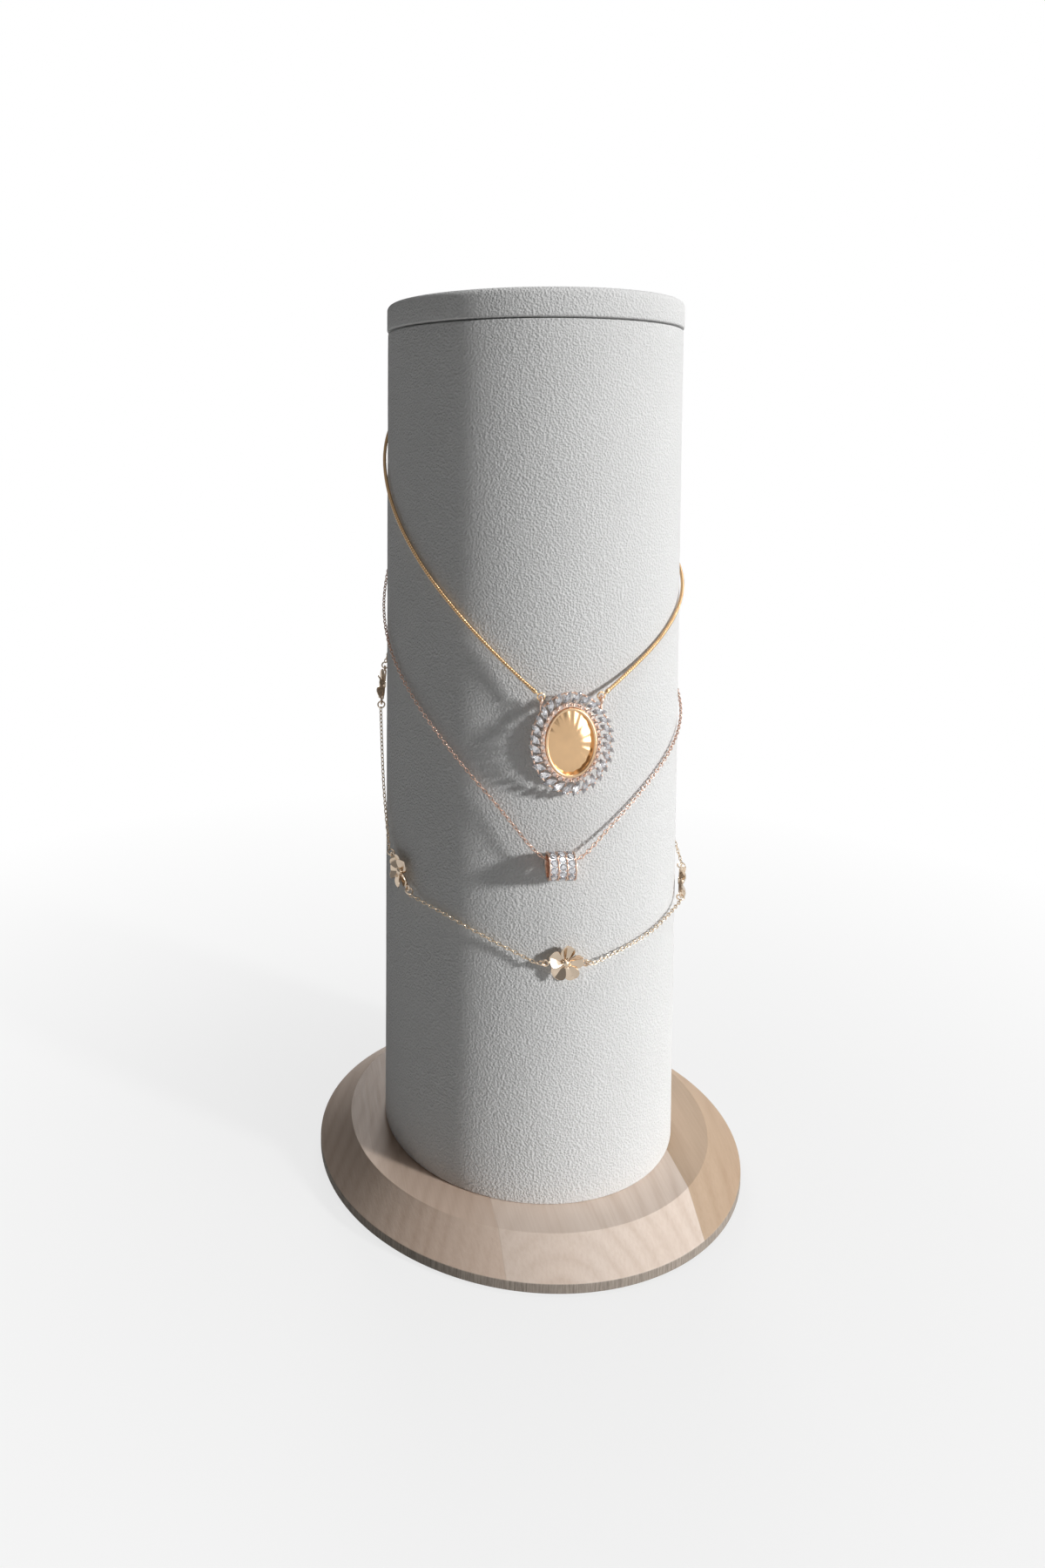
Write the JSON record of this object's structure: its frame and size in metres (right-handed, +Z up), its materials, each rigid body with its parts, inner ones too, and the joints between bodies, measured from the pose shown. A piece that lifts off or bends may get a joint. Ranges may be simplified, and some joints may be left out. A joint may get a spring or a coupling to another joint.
{
  "type": "necklace display stand",
  "caption": "Upright round display column in pale microfibre with a lift-off cap, on a bevelled wooden disc base, dressed with fine chain necklaces that hang on pegs at the back.",
  "frame": {"origin": "middle of the felt's underside, on the floor, on the column's axis", "axes": "+Z up along the column, -Y towards the pendants, +X to the right as seen from the pendants' side"},
  "size_m": [0.146, 0.146, 0.2955],
  "materials": {
    "beech": "fine sanded, clear oiled",
    "felt": "short dense felt",
    "steel": "zinc plated",
    "fibreboard": "raw board",
    "paperboard": "wound paper",
    "microfibre": "fine pebbled nap",
    "peg_brass": "polished",
    "polished_gold": "mirror polished",
    "rose_gold": "polished plating",
    "yellow_gold": "polished plating",
    "champagne_gold": "polished plating",
    "crystal": "faceted, clear"
  },
  "bodies": {
    "stand": {"base_disc": "beech", "base_felt": "felt", "fixing_screw": "steel", "fixing_washer": "steel", "tee_nut": "steel", "foot_plug": "fibreboard", "column_tube": "paperboard", "column_covering": "microfibre", "hang_pegs": "peg_brass", "halo_rings": "yellow_gold", "halo_chain_left": "yellow_gold", "halo_chain_right": "yellow_gold", "halo_clasp_ring": "yellow_gold", "barrel_chain": "rose_gold", "barrel_clasp_ring": "rose_gold", "station_rings": "champagne_gold", "station_clasp_ring": "champagne_gold", "end_rings": "champagne_gold", "station_flower_1": "champagne_gold", "station_flower_2": "champagne_gold", "station_flower_3": "champagne_gold", "station_flower_4": "champagne_gold", "station_flower_5": "champagne_gold", "station_flower_6": "champagne_gold", "station_chain_1": "champagne_gold", "station_chain_2": "champagne_gold", "station_chain_3": "champagne_gold", "station_chain_4": "champagne_gold", "station_chain_5": "champagne_gold", "station_chain_6": "champagne_gold", "station_chain_7": "champagne_gold"},
    "cap": {"cap_core": "fibreboard", "cap_covering": "microfibre", "cap_spigot": "fibreboard"},
    "oval_pendant": {"oval_bezel": "polished_gold", "oval_plate": "polished_gold", "halo_setting": "rose_gold", "halo_stones": "crystal"},
    "barrel_bead": {"barrel_core": "rose_gold", "barrel_stones": "crystal"},
    "halo_gate": {"halo_clasp_gate": "yellow_gold"},
    "barrel_gate": {"barrel_clasp_gate": "rose_gold"},
    "station_gate": {"station_clasp_gate": "champagne_gold"}
  },
  "joints": [
    {"name": "cap_lift", "type": "slide", "parent": "stand", "child": "cap", "axis": [0, 0, 1], "range_m": [0, 0.06]},
    {"name": "oval_pendant_swing", "type": "hinge", "parent": "stand", "child": "oval_pendant", "pos_m": [0, -0.0533, 0.1712], "axis": [-1, 0, 0], "range_deg": [0, 70]},
    {"name": "barrel_spin", "type": "hinge", "parent": "stand", "child": "barrel_bead", "pos_m": [-0.00305, -0.05455, 0.1208], "axis": [0.9984, -0.0558, 0], "continuous": true},
    {"name": "halo_gate_slide", "type": "hinge", "parent": "stand", "child": "halo_gate", "pos_m": [-0.03006, 0.04292, 0.27125], "axis": [0.5736, -0.8192, 0], "range_deg": [0, 60], "stiffness_Nm_per_rad": 0.0002},
    {"name": "barrel_gate_slide", "type": "hinge", "parent": "stand", "child": "barrel_gate", "pos_m": [-0.03006, 0.04292, 0.23025], "axis": [0.5736, -0.8192, 0], "range_deg": [0, 60], "stiffness_Nm_per_rad": 0.0002},
    {"name": "station_gate_slide", "type": "hinge", "parent": "stand", "child": "station_gate", "pos_m": [-0.03006, 0.04292, 0.19925], "axis": [0.5736, -0.8192, 0], "range_deg": [0, 60], "stiffness_Nm_per_rad": 0.0002}
  ]
}
